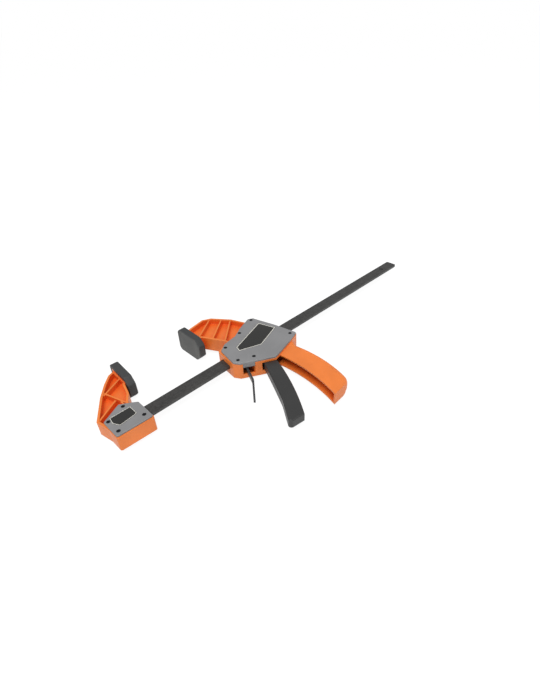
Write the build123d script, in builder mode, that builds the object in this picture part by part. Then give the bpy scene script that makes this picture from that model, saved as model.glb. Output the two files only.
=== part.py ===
"""Quick release bar clamp, lying on its side with the jaws pointing along +Y.

Frame: the origin is the centre of the fixed pad's clamping face. +X runs along the bar
towards the moving head, +Y runs from the bar towards the jaw tips, +Z points out of the
covers. Outlines of the fixed jaw and of the head are drawn in "bar coordinates": x from
that jaw's own clamping face, y from the bar's centre line.
"""
from build123d import *
from math import cos, radians, sin, tan
import os

# ================================================================ driving dimensions, mm
# Bar
BAR_WIDTH = 22.0
BAR_THICK = 5.0
BAR_LENGTH = 689.0
BAR_TAIL = 68.5            # the part of the bar behind the fixed pad's face
BAR_HOLE_R = 4.3
BAR_HOLE_FROM_END = 40.0
BAR_CHAMFER = 2.0

# Jaws
JAW_REACH = 88.0           # bar centre line to the middle of the pads
REST_OPENING = 120.0       # gap between the clamping faces as drawn
JAW_TOE_IN = 3.0           # degrees that the fixed face leans towards the moving one

# Pads: rubber boots over the jaws' end plates
PAD_HEIGHT = 62.0
PAD_WIDTH = 43.0
PAD_THICK = 13.5
PAD_ROUND = 1.5
PAD_TIP_CUT = 5.0          # corner cut at the end away from the bar
PAD_ROOT_CUT = 11.0        # corner cut at the end near the bar
END_PLATE_HEIGHT = 48.0
END_PLATE_WIDTH = 29.0
END_PLATE_THICK = 6.5
PAD_GAP = 0.15             # boot to end plate

# Jaw arms: a web with a flange round it and ribs across it
ARM_HALF = 11.5
ARM_BACK = 13.5            # the arms are a little deeper behind their web
WEB_THICK = 4.0
FLANGE = 3.6
RIB_THICK = 2.6
RIB_DROP = 0.8             # ribs stand this far below the flange's rim
ARM_BITE = 2.0             # how far an arm runs into its end plate

# Moulded housings
WALL = 3.0
RIM = 0.8                  # the housing's edge stands this far outside its cover
CORNER_ROUND = 3.0
BACK_BEVEL = 2.0
FIXED_HALF = 14.4          # bar's middle plane to the cover's face
FIXED_BACK = 15.4          # bar's middle plane to the back
HEAD_HALF = 15.8
HEAD_BACK = 18.0
FIXED_COVER_THICK = 2.9
HEAD_COVER_THICK = 3.5
COVER_BEVEL = 0.8
BAR_GAP = 0.3              # bar to its slots in the mouldings
BADGE_THICK = 0.8
BADGE_GAP = 0.1

# Handle and trigger
HANDLE_HALF = 11.0
HANDLE_WALL = 2.6          # walls beside the channel
HANDLE_BACK_WALL = 6.0     # behind the channel, where the palm presses
HANDLE_ROUND = 8.5
TRIGGER_GAP = 0.6          # trigger to the walls of the handle's channel
TRIGGER_BEVEL = 1.3
TRIGGER_TOE_R = 5.0
TRIGGER_WALL = 2.4         # the trigger is hollow behind, with cross ribs
TRIGGER_HOLLOW_TOP = -66.0
TRIGGER_PIVOT = (84.0, 25.0)
TRIGGER_TRAVEL = 14.5      # degrees, squeezed against the handle
HUB_R = 8.0
HUB_GAP = 0.4              # hub to the bosses beside it
PIVOT_R = 3.0
PIVOT_BOSS_R = 6.0
RUNNING_GAP = 0.05         # pin to bore, radial
NOSE_R = 4.0
NOSE_REACH = 42.0          # pivot to the centre of the nose that pushes the drive plates
FORK_GAP = 0.6             # trigger's fork to the bar's faces
FORK_CLEAR = 3.0           # trigger's fork to the bar's edges

# Drive plates and their spring
PLATE_THICK = 3.0
PLATE_HALF_WIDTH = 9.0
PLATE_ABOVE = 3.6          # plate above the bar
PLATE_BELOW = 14.0         # plate below the bar
PLATE_ROUND = 2.0
PLATE_GAP = 0.2            # between the two plates, and slot to bar
NOSE_GAP = 0.3
SPRING_BELOW = 8.0         # bar's edge to the axis of both springs
DRIVE_SPRING_R = 5.0
DRIVE_WIRE_R = 0.6
DRIVE_TURNS = 5
DRIVE_SEAT_X = 124.0
SEAT_THICK = 3.0
SEAT_HALF = 6.0
SPIGOT_LENGTH = 2.5
SPRING_GAP = 0.4
SPRING_SIDES = 16
WIRE_SLOPE = 1.4           # the sloping wire's reach along the spring, against its half height

# Release lever: the brake plate round the bar, with its tail bent forward
LEVER_THICK = 3.2
LEVER_HALF_WIDTH = 9.0
LEVER_TAIL_HALF_WIDTH = 4.0
LEVER_TILT = 8.0           # degrees from square while it grips the bar
LEVER_BENDS = (17.0, 15.0)  # more degrees of forward lean at each bend of the tail
LEVER_BEND_R = 9.0
LEVER_BEND_AT = 47.5       # fulcrum to the first bend
LEVER_RUNS = (35.8, 43.4)  # after the first bend and after the second
LEVER_HEAD = 5.0           # the end above the fulcrum
LEVER_SHOULDER = 41.0      # fulcrum to where the plate narrows to the tail
LEVER_SLOT_PLAY = 0.9      # the slot's height beyond the bar's width
FULCRUM = (31.0, 15.0)
FULCRUM_R = 2.5
FULCRUM_BLOCK = (11.0, 7.0)  # block that backs the fulcrum pin, along the bar and across it
FULCRUM_BLOCK_RISE = 0.5
BRAKE_SPRING_R = 4.2
BRAKE_WIRE_R = 0.5
BRAKE_TURNS = 3
BRAKE_SEAT_X = 44.0

# Fasteners
SCREW_HEAD_R = 3.0
SCREW_HEAD_HEIGHT = 1.7
SCREW_R = 1.4
SCREW_LENGTH = 13.0
SCREW_GAP = 0.15
SCREW_SINK = 0.3           # head below the cover's face
SOCKET_R = 1.5
BOSS_R = 3.8
FASTENER_SIDES = 16        # screws, their holes and their bosses are drawn with this many sides
ANCHOR_PIN_R = 3.0
PIN_DEPTH = 1.5            # pin into the housing's floor
PIN_BLOCK = 12.0           # block of plastic round each anchor pin, along the bar

# ================================================================ outlines, bar coordinates
FIXED_FRONT = -22.3
FIXED_OUTLINE = [(FIXED_FRONT, 14.3), (-34.0, 22.6), (-46.5, 30.3), (-79.0, 13.0),
                 (-79.0, -24.5), (FIXED_FRONT, -26.2)]
FIXED_BOX = [(-21.5, 14.9), (-33.8, 23.5), (-46.5, 31.2), (-79.9, 13.4), (-79.9, -26.4), (-21.5, -28.1)]
FIXED_BADGE = [(-37.0, 11.5), (-37.0, -5.0), (-61.5, -9.5), (-68.0, 4.0), (-63.5, 12.0)]
FIXED_SCREWS = [(-30.5, -15.5), (-72.0, -17.0), (-73.5, 8.8), (-43.5, 21.5)]
FIXED_PINS = [(-34.0, 0.0), (-60.0, 0.0)]
FIXED_ARM = [(-PAD_THICK + ARM_BITE, JAW_REACH + 21.0), (-24.0, JAW_REACH + 16.0),
             (-39.0, JAW_REACH + 1.0), (-57.5, JAW_REACH - 22.0), (-85.0, 23.0), (-79.0, -6.0),
             (-30.0, 5.0), (-32.5, 27.0), (-21.5, 44.0), (-15.0, JAW_REACH - 20.0),
             (-PAD_THICK + ARM_BITE, JAW_REACH - 20.0)]
FIXED_RIBS = [((-9.0, JAW_REACH), (-52.0, JAW_REACH - 21.0)), ((-49.0, JAW_REACH - 14.0), (-32.0, 22.0)),
              ((-43.5, 45.0), (-86.0, 20.2)), ((-39.0, 37.0), (-39.0, 20.0))]
HEAD_OUTLINE = [(112.5, 56.0), (121.5, 51.0), (134.0, 6.0), (142.5, -38.0), (118.0, -46.5),
                (82.0, -57.0), (70.0, -60.0), (49.0, -49.0), (17.0, -31.0), (11.0, -21.0),
                (18.0, 18.0), (34.0, 28.0), (61.5, 32.5), (83.5, 44.5)]
HEAD_BOX = [(113.0, 56.8), (122.2, 51.5), (134.8, 6.2), (143.4, -38.5), (118.2, -47.3), (82.2, -57.8),
            (69.9, -60.9), (48.6, -49.7), (16.5, -31.6), (10.1, -21.1), (15.5, 22.5), (33.8, 28.8),
            (61.3, 33.3), (83.1, 45.2)]
HEAD_BADGE = [(117.5, 32.5), (128.5, -1.0), (76.5, -20.0), (37.5, -5.5), (41.0, 6.5)]
HEAD_SCREWS = [(114.5, 48.8), (72.8, 33.4), (28.5, 18.8), (20.8, -22.0), (45.6, -33.4),
               (132.8, -32.0)]
HEAD_ARM = [(PAD_THICK - ARM_BITE, JAW_REACH - 18.0), (21.5, JAW_REACH - 10.0), (42.0, 40.0),
            (47.0, 24.0), (100.0, 24.0), (107.0, 52.0), (95.0, 82.5), (71.5, JAW_REACH + 25.5),
            (56.5, JAW_REACH + 33.0), (24.0, JAW_REACH + 27.0), (PAD_THICK - ARM_BITE, JAW_REACH + 21.0)]
HANDLE_FRONT = [(77.0, -34.0), (83.5, -110.0), (70.0, -183.0)]
HANDLE_CORNER = [(100.0, -180.8), (109.5, -175.8), (115.5, -167.0)]
HANDLE_BACK = [(115.5, -167.0), (125.5, -112.0), (122.0, -58.0)]
HANDLE_ROOT = (134.0, -30.0)
CHANNEL_MOUTH = [(48.5, -40.0), (48.5, -180.4), (70.0, -180.4), (90.0, -178.9), (90.0, -40.0)]
TRIGGER_NECK_FRONT = [(76.5, 22.0), (74.0, 10.0), (66.0, -20.0)]
TRIGGER_FRONT = [(66.0, -20.0), (39.0, -76.5), (9.8, -133.0)]
TRIGGER_END = [(-16.5, -171.5), (11.8, -175.0)]
TRIGGER_BACK = [(11.8, -175.0), (46.6, -118.0), (71.5, -62.0)]
TRIGGER_NECK_BACK = [(71.5, -62.0), (78.0, -30.0), (77.0, -21.0)]
TRIGGER_CREST = [(80.5, -10.0), (82.5, 16.0)]
TRIGGER_RIBS = [-90.0, -114.0, -138.0, -158.0]
HEAD_RIBS = [((15.0, 79.3), (75.0, 117.9)), ((28.0, 57.0), (90.0, 102.0)), ((42.0, 37.7), (105.0, 93.6))]
LEVER_WINDOW = (20.5, 38.5)         # x of the release lever's slot in the head's lower wall
LEVER_WINDOW_START = -20.0          # y below which that slot lies
LEVER_WINDOW_TOP = 5.6              # z where the cover's lip closes that slot
LIP_GAP = 0.2

# ================================================================ planes
FIXED = Plane(origin=(0, -JAW_REACH, 0))
HEAD = Plane(origin=(REST_OPENING, -JAW_REACH, 0))
TOE = radians(JAW_TOE_IN)
FIXED_FACE = Plane(origin=(0, 0, 0), x_dir=(sin(TOE), cos(TOE), 0), z_dir=(cos(TOE), -sin(TOE), 0))
MOVING_FACE = Plane(origin=(REST_OPENING, 0, 0), x_dir=(0, 1, 0), z_dir=(-1, 0, 0))
TILT = radians(LEVER_TILT)
LEVER = Plane(origin=(REST_OPENING + FULCRUM[0], FULCRUM[1] - JAW_REACH, 0),
              x_dir=(-sin(TILT), -cos(TILT), 0), z_dir=(0, 0, 1))

# ================================================================ sizes that follow
CHANNEL_HALF = HANDLE_HALF - HANDLE_WALL
TRIGGER_HALF = CHANNEL_HALF - TRIGGER_GAP
FIXED_DECK = FIXED_HALF - FIXED_COVER_THICK
HEAD_DECK = HEAD_HALF - HEAD_COVER_THICK
FIXED_FLOOR = -FIXED_BACK + WALL
HEAD_FLOOR = -HEAD_BACK + WALL
SLOT_WIDTH = BAR_WIDTH + 2 * BAR_GAP
SLOT_THICK = BAR_THICK + 2 * BAR_GAP
SPRING_Y = -BAR_WIDTH / 2 - SPRING_BELOW
NOSE_LEAN = radians(TRIGGER_TRAVEL / 2)
NOSE = (TRIGGER_PIVOT[0] - NOSE_REACH * sin(NOSE_LEAN), TRIGGER_PIVOT[1] - NOSE_REACH * cos(NOSE_LEAN))
DRIVE_START = NOSE[0] + NOSE_R + NOSE_GAP
DRIVE_END = DRIVE_START + 2 * PLATE_THICK + PLATE_GAP
LEVER_FACE = FULCRUM_R + RUNNING_GAP                      # fulcrum's centre to the lever's face
LEVER_MID = LEVER_FACE + LEVER_THICK / 2
LEVER_SLOT_AT = (FULCRUM[1] - LEVER_MID * sin(TILT)) / cos(TILT)
BRAKE_START = (FULCRUM[0] + (LEVER_FACE + LEVER_THICK) / cos(TILT)
               - (FULCRUM[1] - SPRING_Y - BRAKE_SPRING_R) * tan(TILT) + SPRING_GAP)


def write(piece, name):
    """Label a finished piece and write it as its own STEP file."""
    piece.part.label = name
    export_step(piece.part, f"parts/{name}.step")


def pad_profile():
    """The pad's outline, drawn with its height along the sketch's x."""
    tip = PAD_HEIGHT / 2
    half = PAD_WIDTH / 2
    Polygon((tip, half - PAD_TIP_CUT), (tip - PAD_TIP_CUT, half), (-tip + PAD_ROOT_CUT, half),
            (-tip, half - PAD_ROOT_CUT), (-tip, -half + PAD_ROOT_CUT), (-tip + PAD_ROOT_CUT, -half),
            (tip - PAD_TIP_CUT, -half), (tip, -half + PAD_TIP_CUT), align=None)


def make_pad(face_plane, name):
    """A rubber boot with a flat clamping face, pocketed at the back for the end plate."""
    with BuildPart() as pad:
        with BuildSketch(face_plane):
            pad_profile()
        extrude(amount=-PAD_THICK)
        rim = pad.faces().sort_by(Axis(face_plane.origin, face_plane.z_dir))[-1].edges()
        fillet(rim, PAD_ROUND)
        with BuildSketch(face_plane.offset(-PAD_THICK)):
            Rectangle(END_PLATE_HEIGHT + 2 * PAD_GAP, END_PLATE_WIDTH + 2 * PAD_GAP)
        extrude(amount=END_PLATE_THICK + PAD_GAP, mode=Mode.SUBTRACT)
    write(pad, name)


def make_screws(plane, places, deck, name):
    """Pan head screws with a hexagon socket, one for each boss, as one group of solids."""
    head_seat = deck - SCREW_SINK - SCREW_HEAD_HEIGHT
    with BuildPart() as screws:
        with BuildSketch(plane.offset(head_seat)):
            with Locations(*places):
                RegularPolygon(SCREW_HEAD_R, FASTENER_SIDES)
        extrude(amount=SCREW_HEAD_HEIGHT)
        with BuildSketch(plane.offset(head_seat)):
            with Locations(*places):
                RegularPolygon(SCREW_R, FASTENER_SIDES)
        extrude(amount=-SCREW_LENGTH)
        with BuildSketch(plane.offset(deck - SCREW_SINK)):
            with Locations(*places):
                RegularPolygon(SOCKET_R, 6)
        extrude(amount=-SCREW_HEAD_HEIGHT / 2, mode=Mode.SUBTRACT)
    write(screws, name)


def cut_screw_holes(plane, places, radius, depth):
    """A hole at each screw, cut down from the plane."""
    with BuildSketch(plane) as holes:
        with Locations(*places):
            RegularPolygon(radius, FASTENER_SIDES)
    extrude(holes.sketch, amount=-depth, mode=Mode.SUBTRACT)


def cut_cover_holes(plane, places, face):
    """Recesses for the screw heads and holes for their shanks, cut from a cover."""
    cut_screw_holes(plane.offset(face), places, SCREW_HEAD_R + SCREW_GAP, SCREW_SINK + SCREW_HEAD_HEIGHT)
    cut_screw_holes(plane.offset(face), places, SCREW_R + SCREW_GAP, SCREW_LENGTH)


def make_badge(plane, outline, face, name):
    """A thin insert that lies flush in the cover's recess. Its face is bare."""
    with BuildPart() as badge:
        with BuildSketch(plane.offset(face)):
            Polygon(*outline, align=None)
            offset(amount=-BADGE_GAP)
        extrude(amount=-BADGE_THICK)
    write(badge, name)


def make_spring(start, end, radius, wire_r, turns, name):
    """A compression spring of square wire, along the bar between two seats in the head.

    The coil is wound by a loop, as straight runs round its axis with SPRING_SIDES to a turn.
    """
    wire_reach = WIRE_SLOPE * wire_r
    coil_r = radius - wire_r
    steps = turns * SPRING_SIDES
    route = []
    for step in range(steps + 1):
        turn = radians(360 * step / SPRING_SIDES)
        along = start + wire_reach + (end - start - 2 * wire_reach) * step / steps
        route.append((REST_OPENING + along, SPRING_Y - JAW_REACH + coil_r * cos(turn), coil_r * sin(turn)))
    with BuildPart() as spring:
        with BuildLine() as coil:
            Polyline(*route)
        with BuildSketch(Plane(origin=coil.line @ 0, z_dir=coil.line % 0)):
            Rectangle(2 * wire_r, 2 * wire_r)
        sweep(transition=Transition.RIGHT)
    write(spring, name)


os.makedirs("parts", exist_ok=True)

# ================================================================ bar and fixed jaw
bar_end = BAR_LENGTH - BAR_TAIL
with BuildPart() as bar:
    with BuildSketch(FIXED) as bar_outline:
        with Locations((bar_end - BAR_LENGTH / 2, 0)):
            Rectangle(BAR_LENGTH, BAR_WIDTH)
        chamfer(bar_outline.vertices().group_by(Axis.X)[-1], BAR_CHAMFER)
        with Locations((bar_end - BAR_HOLE_FROM_END, 0)):
            Circle(BAR_HOLE_R, mode=Mode.SUBTRACT)
        with Locations(*FIXED_PINS):
            Circle(ANCHOR_PIN_R + RUNNING_GAP, mode=Mode.SUBTRACT)
    extrude(amount=BAR_THICK / 2, both=True)
write(bar, "bar")

with BuildPart() as fixed_jaw:
    # closed box round the end of the bar
    with BuildSketch(FIXED.offset(-FIXED_BACK)) as box:
        Polygon(*FIXED_BOX, align=None)
        fillet(box.vertices(), CORNER_ROUND)
    extrude(amount=FIXED_BACK + FIXED_DECK)
    chamfer(fixed_jaw.faces().sort_by(Axis.Z)[0].edges(), BACK_BEVEL)
    # arm: web, flange and ribs
    with BuildSketch(FIXED):
        Polygon(*FIXED_ARM, align=None)
    extrude(amount=WEB_THICK / 2, both=True)
    with BuildSketch(FIXED.offset(-ARM_BACK)):
        Polygon(*FIXED_ARM, align=None)
        offset(amount=-FLANGE, mode=Mode.SUBTRACT)
    extrude(amount=ARM_BACK + ARM_HALF)
    for rib in FIXED_RIBS:
        with BuildSketch(FIXED):
            with BuildLine():
                Line(*rib)
            trace(line_width=RIB_THICK)
            Polygon(*FIXED_ARM, align=None, mode=Mode.INTERSECT)
        extrude(amount=ARM_HALF - RIB_DROP, both=True)
    with BuildSketch(FIXED_FACE.offset(-PAD_THICK)):
        Rectangle(END_PLATE_HEIGHT, END_PLATE_WIDTH)
    extrude(amount=END_PLATE_THICK)
    # chamber, with a block round each anchor pin and a boss for each screw
    with BuildSketch(FIXED.offset(FIXED_FLOOR)):
        Polygon(*FIXED_OUTLINE, align=None)
        offset(amount=RIM - WALL)
    extrude(amount=FIXED_HALF - FIXED_FLOOR, mode=Mode.SUBTRACT)
    with BuildSketch(FIXED.offset(FIXED_FLOOR)):
        with Locations(*FIXED_PINS):
            Rectangle(PIN_BLOCK, BAR_WIDTH + 2 * WALL)
        with Locations(*FIXED_SCREWS):
            RegularPolygon(BOSS_R, FASTENER_SIDES)
    extrude(amount=FIXED_DECK - FIXED_FLOOR)
    # slot for the bar, holes for pins and screws
    slot_start = -BAR_TAIL - BAR_GAP
    with BuildSketch(FIXED):
        with Locations((slot_start / 2, 0)):
            Rectangle(-slot_start, SLOT_WIDTH)
    extrude(amount=SLOT_THICK / 2, both=True, mode=Mode.SUBTRACT)
    with Locations(FIXED.offset(FIXED_DECK)):
        with Locations(*FIXED_PINS):
            Hole(ANCHOR_PIN_R + RUNNING_GAP, depth=FIXED_DECK - FIXED_FLOOR + PIN_DEPTH)
    cut_screw_holes(FIXED.offset(FIXED_DECK), FIXED_SCREWS, SCREW_R + RUNNING_GAP, SCREW_LENGTH)
write(fixed_jaw, "fixed_jaw")

with BuildPart() as fixed_jaw_anchor_pins:
    with BuildSketch(FIXED.offset(FIXED_FLOOR - PIN_DEPTH)):
        with Locations(*FIXED_PINS):
            Circle(ANCHOR_PIN_R)
    extrude(amount=FIXED_DECK - FIXED_FLOOR + PIN_DEPTH)
write(fixed_jaw_anchor_pins, "fixed_jaw_anchor_pins")

with BuildPart() as fixed_jaw_cover:
    with BuildSketch(FIXED.offset(FIXED_DECK)) as plate:
        Polygon(*FIXED_OUTLINE, align=None)
        fillet(plate.vertices(), CORNER_ROUND)
    extrude(amount=FIXED_COVER_THICK)
    chamfer(fixed_jaw_cover.faces().sort_by(Axis.Z)[-1].edges(), COVER_BEVEL)
    cut_cover_holes(FIXED, FIXED_SCREWS, FIXED_HALF)
    with BuildSketch(FIXED.offset(FIXED_HALF)):
        Polygon(*FIXED_BADGE, align=None)
    extrude(amount=-BADGE_THICK, mode=Mode.SUBTRACT)
write(fixed_jaw_cover, "fixed_jaw_cover")

make_badge(FIXED, FIXED_BADGE, FIXED_HALF, "fixed_jaw_badge")
make_screws(FIXED, FIXED_SCREWS, FIXED_HALF, "fixed_jaw_cover_screws")
make_pad(FIXED_FACE, "fixed_jaw_pad")
make_pad(MOVING_FACE, "moving_jaw_pad")

# ================================================================ moving head
# Handle: a grip with a round back, later hollowed into a channel for the trigger
with BuildPart() as handle_form:
    with BuildSketch(HEAD) as handle_side:
        with BuildLine():
            ThreePointArc(*HANDLE_FRONT)
            Line(HANDLE_FRONT[-1], HANDLE_CORNER[0])
            ThreePointArc(*HANDLE_CORNER)
            ThreePointArc(*HANDLE_BACK)
            Polyline(HANDLE_BACK[-1], HANDLE_ROOT, HANDLE_FRONT[0])
        make_face()
    extrude(amount=HANDLE_HALF, both=True)
    corner_x = REST_OPENING + HANDLE_CORNER[0][0]
    back_edges = handle_form.faces().filter_by(Axis.Z).edges()
    fillet(back_edges.filter_by(lambda edge: edge.center().X > corner_x), HANDLE_ROUND)

# The cover's and the housing's wall share this ring, cut where the release lever comes out
with BuildSketch(HEAD) as lever_window:
    Polygon(*HEAD_OUTLINE, align=None)
    fillet(lever_window.vertices(), CORNER_ROUND)
    offset(amount=RIM)
    offset(amount=-WALL, mode=Mode.SUBTRACT)
    with Locations((LEVER_WINDOW[0], LEVER_WINDOW_START)):
        Rectangle(LEVER_WINDOW[1] - LEVER_WINDOW[0], BAR_LENGTH, align=(Align.MIN, Align.MAX),
                  mode=Mode.INTERSECT)

with BuildPart() as head_housing:
    # box round the mechanism
    with BuildSketch(HEAD.offset(-HEAD_BACK)) as box:
        Polygon(*HEAD_BOX, align=None)
        fillet(box.vertices(), CORNER_ROUND)
    extrude(amount=HEAD_BACK + HEAD_DECK)
    chamfer(head_housing.faces().sort_by(Axis.Z)[0].edges(), BACK_BEVEL)
    add(handle_form.part)
    # arm: web, flange and ribs
    with BuildSketch(HEAD):
        Polygon(*HEAD_ARM, align=None)
    extrude(amount=WEB_THICK / 2, both=True)
    with BuildSketch(HEAD.offset(-ARM_BACK)):
        Polygon(*HEAD_ARM, align=None)
        offset(amount=-FLANGE, mode=Mode.SUBTRACT)
    extrude(amount=ARM_BACK + ARM_HALF)
    for rib in HEAD_RIBS:
        with BuildSketch(HEAD):
            with BuildLine():
                Line(*rib)
            trace(line_width=RIB_THICK)
            Polygon(*HEAD_ARM, align=None, mode=Mode.INTERSECT)
        extrude(amount=ARM_HALF - RIB_DROP, both=True)
    with BuildSketch(MOVING_FACE.offset(-PAD_THICK)):
        Rectangle(END_PLATE_HEIGHT, END_PLATE_WIDTH)
    extrude(amount=END_PLATE_THICK)
    # chamber
    with BuildSketch(HEAD.offset(HEAD_FLOOR)):
        Polygon(*HEAD_OUTLINE, align=None)
        offset(amount=RIM - WALL)
    extrude(amount=HEAD_HALF - HEAD_FLOOR, mode=Mode.SUBTRACT)
    # channel in the handle, open towards the trigger and into the chamber
    with BuildSketch(HEAD):
        add(handle_side.sketch_local)
        offset(amount=-HANDLE_BACK_WALL)
        Polygon(*CHANNEL_MOUTH, align=None)
    extrude(amount=CHANNEL_HALF, both=True, mode=Mode.SUBTRACT)
    # screw bosses, spring seats, pivot boss and the fulcrum's block
    with BuildSketch(HEAD.offset(HEAD_FLOOR)):
        with Locations(*HEAD_SCREWS):
            RegularPolygon(BOSS_R, FASTENER_SIDES)
        for seat_x in (DRIVE_SEAT_X, BRAKE_SEAT_X):
            with Locations((seat_x + SEAT_THICK / 2, SPRING_Y)):
                Rectangle(SEAT_THICK, 2 * SEAT_HALF)
        with Locations((FULCRUM[0] - FULCRUM_BLOCK[0] / 2, FULCRUM[1] + FULCRUM_BLOCK_RISE)):
            Rectangle(*FULCRUM_BLOCK)
    extrude(amount=HEAD_DECK - HEAD_FLOOR)
    with BuildSketch(HEAD.offset(HEAD_FLOOR)):
        with Locations(TRIGGER_PIVOT):
            Circle(PIVOT_BOSS_R)
    extrude(amount=-HEAD_FLOOR - TRIGGER_HALF - HUB_GAP)
    for seat_x, spring_r, wire_r in ((DRIVE_SEAT_X, DRIVE_SPRING_R, DRIVE_WIRE_R),
                                     (BRAKE_SEAT_X, BRAKE_SPRING_R, BRAKE_WIRE_R)):
        spigot = Plane(origin=(REST_OPENING + seat_x, SPRING_Y - JAW_REACH, 0), z_dir=(-1, 0, 0))
        with BuildSketch(spigot):
            Circle(spring_r - 2 * wire_r - SPRING_GAP)
        extrude(amount=SPIGOT_LENGTH)
    # slot for the bar through both end walls
    with BuildSketch(HEAD):
        Rectangle(BAR_LENGTH, SLOT_WIDTH)
    extrude(amount=SLOT_THICK / 2, both=True, mode=Mode.SUBTRACT)
    # slot for the release lever
    with BuildSketch(HEAD.offset(-CHANNEL_HALF)):
        add(lever_window.sketch_local)
    extrude(amount=CHANNEL_HALF + HEAD_HALF, mode=Mode.SUBTRACT)
    # pin and screw holes
    with Locations(HEAD.offset(HEAD_DECK)):
        with Locations(TRIGGER_PIVOT):
            Hole(PIVOT_R + RUNNING_GAP, depth=HEAD_DECK - HEAD_FLOOR + PIN_DEPTH)
        with Locations(FULCRUM):
            Hole(FULCRUM_R + RUNNING_GAP, depth=HEAD_DECK - HEAD_FLOOR + PIN_DEPTH)
    cut_screw_holes(HEAD.offset(HEAD_DECK), HEAD_SCREWS, SCREW_R + RUNNING_GAP, SCREW_LENGTH)
write(head_housing, "head_housing")

with BuildPart() as head_cover:
    with BuildSketch(HEAD.offset(HEAD_DECK)) as plate:
        Polygon(*HEAD_OUTLINE, align=None)
        fillet(plate.vertices(), CORNER_ROUND)
    extrude(amount=HEAD_COVER_THICK)
    chamfer(head_cover.faces().sort_by(Axis.Z)[-1].edges(), COVER_BEVEL)
    # lip that closes the top of the release lever's slot
    with BuildSketch(HEAD.offset(LEVER_WINDOW_TOP)):
        add(lever_window.sketch_local)
        offset(amount=-LIP_GAP)
    extrude(amount=HEAD_HALF - COVER_BEVEL - LEVER_WINDOW_TOP)
    # bosses that hold the upper ends of the two pins
    with BuildSketch(HEAD.offset(HEAD_DECK)):
        with Locations(TRIGGER_PIVOT):
            Circle(PIVOT_BOSS_R)
    extrude(amount=TRIGGER_HALF + HUB_GAP - HEAD_DECK)
    cut_cover_holes(HEAD, HEAD_SCREWS, HEAD_HALF)
    with BuildSketch(HEAD.offset(TRIGGER_HALF)):
        with Locations(TRIGGER_PIVOT):
            Circle(PIVOT_R + RUNNING_GAP)
    extrude(amount=HEAD_DECK - TRIGGER_HALF, mode=Mode.SUBTRACT)
    with BuildSketch(HEAD.offset(HEAD_HALF)):
        Polygon(*HEAD_BADGE, align=None)
    extrude(amount=-BADGE_THICK, mode=Mode.SUBTRACT)
write(head_cover, "head_cover")

make_badge(HEAD, HEAD_BADGE, HEAD_HALF, "head_badge")
make_screws(HEAD, HEAD_SCREWS, HEAD_HALF, "head_cover_screws")

for pin_place, pin_r, pin_name in ((TRIGGER_PIVOT, PIVOT_R, "trigger_pivot_pin"),
                                   (FULCRUM, FULCRUM_R, "release_lever_fulcrum_pin")):
    with BuildPart() as pin:
        with BuildSketch(HEAD.offset(HEAD_FLOOR - PIN_DEPTH)):
            with Locations(pin_place):
                Circle(pin_r)
        extrude(amount=HEAD_DECK - HEAD_FLOOR + PIN_DEPTH)
    write(pin, pin_name)

# Trigger: a grip that forks round the bar and hangs from a hub above it
with BuildPart() as trigger:
    with BuildSketch(HEAD) as side:
        with BuildLine():
            Polyline(TRIGGER_PIVOT, *TRIGGER_NECK_FRONT)
            ThreePointArc(*TRIGGER_FRONT)
            Polyline(TRIGGER_FRONT[-1], *TRIGGER_END)
            ThreePointArc(*TRIGGER_BACK)
            Polyline(*TRIGGER_NECK_BACK, NOSE, *TRIGGER_CREST, TRIGGER_PIVOT)
        make_face()
        fillet(side.vertices().sort_by(Axis.X)[0], TRIGGER_TOE_R)
        with Locations(NOSE):
            Circle(NOSE_R)
        with Locations(TRIGGER_PIVOT):
            Circle(HUB_R)
            Circle(PIVOT_R + RUNNING_GAP, mode=Mode.SUBTRACT)
    extrude(amount=TRIGGER_HALF, both=True)
    grip_edges = trigger.faces().filter_by(Axis.Z).edges()
    grip_y = TRIGGER_BACK[-1][1] - JAW_REACH
    chamfer(grip_edges.filter_by(lambda edge: edge.center().Y < grip_y), TRIGGER_BEVEL)
    # hollow back of the grip: its inside, carried out through the back wall, less the ribs
    with BuildSketch(HEAD) as hollow:
        add(side.sketch_local)
        with Locations((0, TRIGGER_HOLLOW_TOP)):
            Rectangle(3 * BAR_LENGTH, BAR_LENGTH, align=(Align.CENTER, Align.MAX), mode=Mode.INTERSECT)
        offset(amount=-TRIGGER_WALL)
        add(hollow.sketch_local.moved(Location((2 * TRIGGER_WALL, 0, 0))))
        with Locations(*[(0, rib_y) for rib_y in TRIGGER_RIBS]):
            Rectangle(BAR_LENGTH, RIB_THICK, mode=Mode.SUBTRACT)
    extrude(amount=TRIGGER_HALF - TRIGGER_WALL, both=True, mode=Mode.SUBTRACT)
    with BuildSketch(HEAD):
        Rectangle(BAR_LENGTH, BAR_WIDTH + 2 * FORK_CLEAR)
    extrude(amount=BAR_THICK / 2 + FORK_GAP, both=True, mode=Mode.SUBTRACT)
write(trigger, "trigger")

# Drive plates: two steel plates, slotted for the bar
for number, plate_x in ((1, DRIVE_START), (2, DRIVE_START + PLATE_THICK + PLATE_GAP)):
    across = Plane(origin=(REST_OPENING + plate_x, -JAW_REACH, 0), x_dir=(0, 1, 0), z_dir=(1, 0, 0))
    with BuildPart() as drive_plate:
        with BuildSketch(across) as blank:
            with Locations(((PLATE_ABOVE - PLATE_BELOW) / 2, 0)):
                Rectangle(BAR_WIDTH + PLATE_ABOVE + PLATE_BELOW, 2 * PLATE_HALF_WIDTH)
            fillet(blank.vertices(), PLATE_ROUND)
            Rectangle(BAR_WIDTH + 2 * PLATE_GAP, BAR_THICK + 2 * PLATE_GAP, mode=Mode.SUBTRACT)
        extrude(amount=PLATE_THICK)
    write(drive_plate, f"drive_plate_{number}")

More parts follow.
